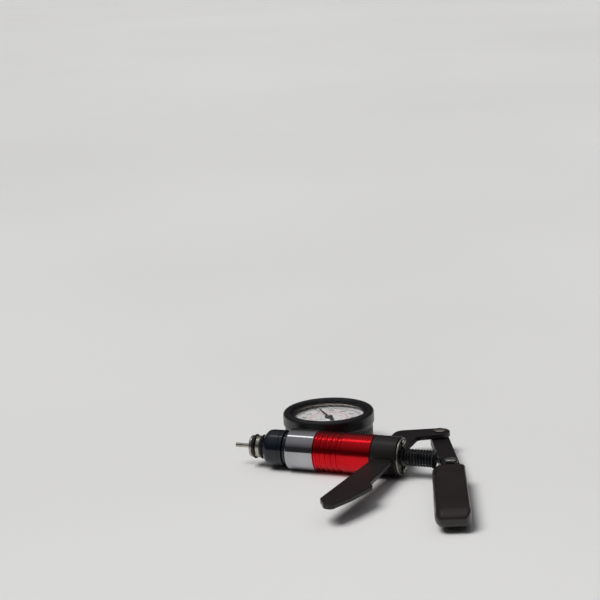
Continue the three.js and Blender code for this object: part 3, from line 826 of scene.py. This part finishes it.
def add_spring():
    """The coil lies between the rear plate and the washer, on a mesh of its own."""
    front, rear, _ = along("return_spring")
    first = front + WIRE_R
    free = rear - front - 2 * WIRE_R
    closed = 2 * WIRE_R * 1.02
    steps_per_turn = 48
    wire_sides = 12
    steps = round(SPRING_TURNS * steps_per_turn)
    open_turns = SPRING_TURNS - 2 * DEAD_TURNS
    pitch = (free - 2 * DEAD_TURNS * closed) / open_turns
    centres = []
    for step in range(steps + 1):
        turn = step / steps_per_turn
        start = min(turn, DEAD_TURNS) * closed
        middle = min(max(turn - DEAD_TURNS, 0), open_turns) * pitch
        end = max(turn - DEAD_TURNS - open_turns, 0) * closed
        angle = 2 * math.pi * turn
        run = first + start + middle + end
        centres.append(Vector((run, SPRING_R * math.cos(angle), SPRING_R * math.sin(angle))))
    rings = []
    for i, centre in enumerate(centres):
        heading = (centres[min(i + 1, steps)] - centres[max(i - 1, 0)]).normalized()
        out = Vector((0, centre.y, centre.z)).normalized()
        side = heading.cross(out).normalized()
        out = side.cross(heading)
        ring = []
        for k in range(wire_sides):
            angle = 2 * math.pi * k / wire_sides
            ring.append(centre + (out * math.cos(angle) + side * math.sin(angle)) * WIRE_R)
        rings.append(ring)
    spring = add("spring_coil", loft(rings), "pump_body", "black_spring", "return_spring")
    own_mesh(spring)


# ---- Lever, grip and pins --------------------------------------------------------------------------

LEVER_HALF = 7.0
LEVER_WALL = 2.2
LEVER_TOP = -2.3
SLOT_HALF = 2.8  # the rod pin moves sideways and along the lever in this slot
SLOT_REACH = 5.2
GRIP_START = 11.0
GRIP_LENGTH = 104.0
GRIP_BACK = 10.3
GRIP_FRONT = 13.8


def lever_end():
    """The middle of the lever's rounded foot, from the node's lowest point."""
    low, high = reach("lever")
    return Vector((high.x - LEVER_HALF, low.y + LEVER_HALF))


def add_lever():
    line = [PIVOT, ROD_PIN, lever_end()]
    bottom = reach("lever")[0].z
    shell = slab(ribbon(line, LEVER_HALF), bottom, LEVER_TOP, 1.0, 4)
    hollow = slab(ribbon(line, LEVER_HALF - LEVER_WALL), bottom - 2, LEVER_TOP - LEVER_WALL)
    up = (PIVOT - ROD_PIN).normalized()
    slot = slab(ribbon([ROD_PIN - up * 0.4, ROD_PIN + up * SLOT_REACH], SLOT_HALF), -9, 0)
    channel = cut(shell, hollow, slot, drill(PIVOT, PIVOT_PIN_R + GAP))
    add("lever_channel", channel, "lever_arm", "black_paint", "lever")
    add_grip(line, bottom)


def add_grip(line, bottom):
    """A moulded sleeve: flat back and faces, a round finger side, and a rounded foot."""
    down = (lever_end() - ROD_PIN).normalized()
    fingers = Vector((down.y, -down.x))
    half_height = (GRIP_HIGH.z - GRIP_LOW.z) / 2
    middle_z = (GRIP_HIGH.z + GRIP_LOW.z) / 2
    top_end = 1.6  # radius of the sleeve's upper end
    foot_run = 11  # the foot is rounded off over this length,
    foot = 5.5  # and by this much on each side
    stations = []
    ends = 10
    for step in range(ends + 1):
        angle = math.pi / 2 * step / ends
        stations.append((top_end * (1 - math.cos(angle)), top_end * (1 - math.sin(angle))))
    middle_steps = 12
    for step in range(1, middle_steps):
        share = step / middle_steps
        stations.append((top_end + (GRIP_LENGTH - top_end - foot_run) * share, 0))
    for step in range(ends + 1):
        angle = math.pi / 2 * step / ends
        stations.append((GRIP_LENGTH - foot_run * (1 - math.sin(angle)), foot * (1 - math.cos(angle))))
    rings = []
    for run, inset in stations:
        share = run / GRIP_LENGTH
        h = half_height - inset
        back = GRIP_BACK - inset
        front = GRIP_FRONT + 1.2 * share - inset
        corner = 2.6 - 0.3 * inset
        crown = 7.5 - 1.5 * share - inset  # depth of the round finger side
        flat_end = front - crown
        section = rounded([(flat_end, h), (-back, h, corner), (-back, -h, corner), (flat_end, -h)])
        steps = 16
        for step in range(1, steps):
            angle = math.pi * (step / steps - 0.5)
            section.append(Vector((flat_end + crown * math.cos(angle), h * math.sin(angle))))
        start = ROD_PIN + down * (GRIP_START + run)
        rings.append([(*(start + fingers * u), middle_z + v) for u, v in section])
    socket = slab(ribbon(line, LEVER_HALF + 0.25), bottom - 0.25, LEVER_TOP + 0.25)
    add("grip_sleeve", cut(loft(rings), socket), "lever_arm", "grip", "lever_grip")


def add_pins():
    add_pin("pivot_pin", "pump_body", PIVOT_PIN_R, "pivot_clip")
    add_pin("rod_pin", "piston_set", ROD_PIN_R, "rod_pin_clip")


def add_pin(node, body, shank_r, clip):
    """A pin with a low domed head, and the clip that holds it."""
    middle, bottom, top, head_r = upright(node)
    seat = top - 1.4
    dome = 0.9
    outline = [(bottom, 0), (bottom, shank_r, 0.4), (seat, shank_r), (seat, head_r, 0.15),
               (top - dome, head_r, 0.35)]
    steps = 8
    for step in range(1, steps):
        angle = math.pi / 2 * step / steps
        outline.append((top - dome + dome * math.sin(angle), head_r * 0.98 * math.cos(angle)))
    outline.append((top, 0))
    add(node + "_rivet", upright_lathe(rounded(outline), middle, SMALL_SIDES), body, "plated_steel", node)

    middle, bottom, top, radius = upright(clip)
    bore = shank_r + 0.2
    outline = [(bottom, bore), (bottom, radius, 0.2), (top, radius, 0.2), (top, bore)]
    add(clip + "_ring", upright_lathe(rounded(outline), middle, SMALL_SIDES), body, "plated_steel", clip)


# ---- Gauge ------------------------------------------------------------------------------------------

GRIP_RIBS = 60
WINDOW_R = 28.5
STEM_HOLE_R = 4.9


def add_boot():
    middle, bottom, top, radius = upright("gauge_boot")
    inside = upright("gauge_case")[3] + GAP
    wall_r = radius - 1.2
    ribs_low, ribs_high = bottom + 3.0, top - 11.6

    def ribbed(height, r, angle):
        if not (ribs_low < height < ribs_high and r > wall_r - 1):
            return r
        fade = min(height - ribs_low, ribs_high - height, 1.2) / 1.2
        wave = 0.5 + 0.5 * math.cos(GRIP_RIBS * angle)
        return r - 0.75 * fade * wave ** 3

    floor = bottom + 3.0
    groove = bottom + 0.8  # a shallow ring moulded into the flat back
    outline = [(bottom, 0), (bottom, radius - 9, 0.3), (groove, radius - 8, 0.3),
               (groove, radius - 6.5, 0.3), (bottom, radius - 5.5, 0.3), (bottom, wall_r, 2.6)]
    wall_steps = 12
    for step in range(wall_steps + 1):
        outline.append((ribs_low + (ribs_high - ribs_low) * step / wall_steps, wall_r))
    lip = top - 2.4  # underside of the lip that holds the gauge in
    outline += [(top - 10.6, wall_r, 0.5), (top - 9.8, radius, 1.2), (top, radius, 4.2),
                (top, radius - 5.2, 1.6), (top - 1.6, WINDOW_R, 0.4), (lip, WINDOW_R), (lip, inside),
                (floor, inside), (floor, 0)]
    boot = upright_lathe(rounded(outline), middle, GRIP_RIBS * 8, ribbed)
    port = reach("head")[1].y
    hole_end = middle[1] - 10
    hole = lathe([(port, 0), (port, STEM_HOLE_R), (hole_end, STEM_HOLE_R), (hole_end, 0)], SMALL_SIDES)
    hole.transform(Matrix.Translation((middle[0], 0, 0)) @ Matrix.Rotation(math.pi / 2, 4, "Z"))
    add("boot_shell", cut(boot, hole), "pump_body", "boot", "gauge_boot")


def add_bezel_and_lens():
    middle, bottom, top, radius = upright("gauge_bezel")
    outline = [(bottom, WINDOW_R - 1.4), (bottom, radius), (top, radius), (top, WINDOW_R - 0.2, 0.1),
               (bottom + 0.2, WINDOW_R - 1.6, 0.1)]
    add("bezel_ring", upright_lathe(rounded(outline), middle), "pump_body", "black_paint", "gauge_bezel")

    middle, bottom, top, radius = upright("gauge_lens")
    dome = 0.9
    clear = WINDOW_R - 1.9
    steps = 14
    outer = []
    for step in range(steps + 1):
        share = step / steps
        outer.append((top + dome * (1 - share ** 2), clear * share))
    inner = [(height - 1.0, r) for height, r in outer]
    outline = inner + [(bottom, radius), (top, radius)] + outer[::-1]
    add("lens_glass", upright_lathe(outline, middle), "pump_body", "lens", "gauge_lens")


DIAL_SWEEP = 135.0  # the scale runs this far to each side of straight up
ZERO_AT = -45.0
PRINT_T = 0.06
OUTER_R = 25.2  # of the black scale's line
INNER_R = 14.6  # of the red scale's line


def polar(middle, radius, clockwise):
    """The point at that angle clockwise from straight up, towards +Y."""
    angle = math.radians(clockwise)
    return Vector((middle[0] + radius * math.sin(angle), middle[1] + radius * math.cos(angle)))


def printed_arc(middle, radius, width, start, end, height, material, name):
    outline = []
    steps = 72
    for r, first, last in ((radius + width / 2, start, end), (radius - width / 2, end, start)):
        for step in range(steps + 1):
            outline.append(polar(middle, r, first + (last - first) * step / steps))
    place(name, slab(outline, height, height + PRINT_T), "pump_body", material, "dial")


def add_ticks(name, middle, count, outer, length, width, height, material, start, end):
    """One mesh of short radial marks, evenly spread from start to end."""
    bm = bmesh.new()
    for i in range(count):
        angle = start + (end - start) * i / (count - 1)
        across = Vector((math.cos(math.radians(angle)), -math.sin(math.radians(angle)))) * width / 2
        far, near = polar(middle, outer, angle), polar(middle, outer - length, angle)
        corners = [near - across, near + across, far + across, far - across]
        lower = [bm.verts.new((x, y, height)) for x, y in corners]
        upper = [bm.verts.new((x, y, height + PRINT_T)) for x, y in corners]
        bm.faces.new(lower)
        bm.faces.new(upper)
        skin(bm, lower, upper)
    bmesh.ops.recalc_face_normals(bm, faces=bm.faces)
    place(name, bm, "pump_body", material, "dial")


def add_number(text, middle, radius, clockwise, size, height, material, name):
    curve = bpy.data.curves.new(name, "FONT")
    curve.body = text
    curve.size = size
    curve.align_x = "CENTER"
    curve.align_y = "CENTER"
    curve.extrude = PRINT_T / 2
    curve.offset = size * 0.012
    letter = bpy.data.objects.new(name, curve)
    bpy.context.scene.collection.objects.link(letter)
    shape = bpy.data.meshes.new_from_object(letter.evaluated_get(bpy.context.evaluated_depsgraph_get()))
    bm = bmesh.new()
    bm.from_mesh(shape)
    bpy.data.meshes.remove(shape)
    bpy.data.objects.remove(letter)
    bmesh.ops.remove_doubles(bm, verts=bm.verts, dist=1e-4)
    x, y = polar(middle, radius, clockwise)
    bm.transform(Matrix.Translation((x, y, height + PRINT_T / 2)))
    place(name, bm, "pump_body", material, "dial")


def add_dial():
    middle, bottom, top, radius = upright("gauge_dial")
    outline = [(bottom, 1.6), (bottom, radius), (top, radius, 0.2), (top, 1.6, 0.15)]
    add("dial_card", upright_lathe(rounded(outline), middle), "pump_body", "dial", "gauge_dial")

    ends = (-DIAL_SWEEP, DIAL_SWEEP)
    printed_arc(middle, OUTER_R, 0.35, *ends, top, BLACK_INK, "outer_scale_line")
    add_ticks("outer_ticks_major", middle, 10, OUTER_R, 3.4, 0.55, top, BLACK_INK, *ends)
    add_ticks("outer_ticks_minor", middle, 46, OUTER_R, 1.9, 0.25, top, BLACK_INK, *ends)
    printed_arc(middle, INNER_R, 0.3, *ends, top, RED_INK, "inner_scale_line")
    add_ticks("inner_ticks", middle, 28, INNER_R, 1.5, 0.28, top, RED_INK, *ends)
    for i, text in enumerate(("30", "20", "10", "0", "10", "20", "30", "40", "50", "60")):
        angle = -DIAL_SWEEP + 2 * DIAL_SWEEP * i / 9
        add_number(text, middle, 18.9, angle, 4.3, top, BLACK_INK, f"outer_number_{i}")
    inner_numbers = (("1", -90), ("0", 0), ("1", 45), ("2", 90), ("3", 135), ("4", 180))
    for i, (text, from_zero) in enumerate(inner_numbers):
        add_number(text, middle, 10.2, ZERO_AT + from_zero, 3.0, top, RED_INK, f"inner_number_{i}")


def add_needle():
    low, high = reach("needle")
    middle = upright("pointer_shaft")[0]
    base, top = low.z, high.z
    tail, tip = 9.0, 22.0
    outline = [(-1.5, -tail), (1.5, -tail), (0.9, 0), (0.25, tip), (-0.25, tip), (-0.9, 0)]
    blade = slab(outline, base, top, 0.15, 2)
    hub_r = 3.1
    hub_top = top + 0.2
    outline = rounded([(base, 0), (base, hub_r, 0.2), (hub_top, hub_r, 0.3), (hub_top, 0)])
    hub = upright_lathe(outline, (0, 0), SMALL_SIDES)
    pointer = join(blade, hub)
    turn = needle_angle(low, high, middle)
    pointer.transform(Matrix.Translation((*middle, 0)) @ Matrix.Rotation(turn, 4, "Z"))
    add("needle_blade", pointer, "pointer", "pointer", "needle")


def needle_angle(low, high, middle):
    """How far the needle is turned anticlockwise from straight up, from the node's furthest corner."""
    left, ahead = middle[0] - low.x, high.y - middle[1]
    return math.atan2(max(left - 3.0, 0), ahead)


# ---- All of it ---------------------------------------------------------------------------------------

bpy.context.scene.view_settings.view_transform = "Standard"
add_camera()
add_key_light()
add_room()
add_floor()
add_front()
add_barrel()
add_collar()
add_rear_plate()
add_rod()
add_spring()
add_lever()
add_pins()
add_boot()
add_bezel_and_lens()
add_dial()
add_needle()

# The CAD nodes that stay get their slot's material.
SLOT_OF = {part["node"]: part["material_slot"] for part in frame["record"]["subparts"]}
for node_name, node in NODES.items():
    node.data.materials.clear()
    node.data.materials.append(SLOTS[SLOT_OF[node_name]])
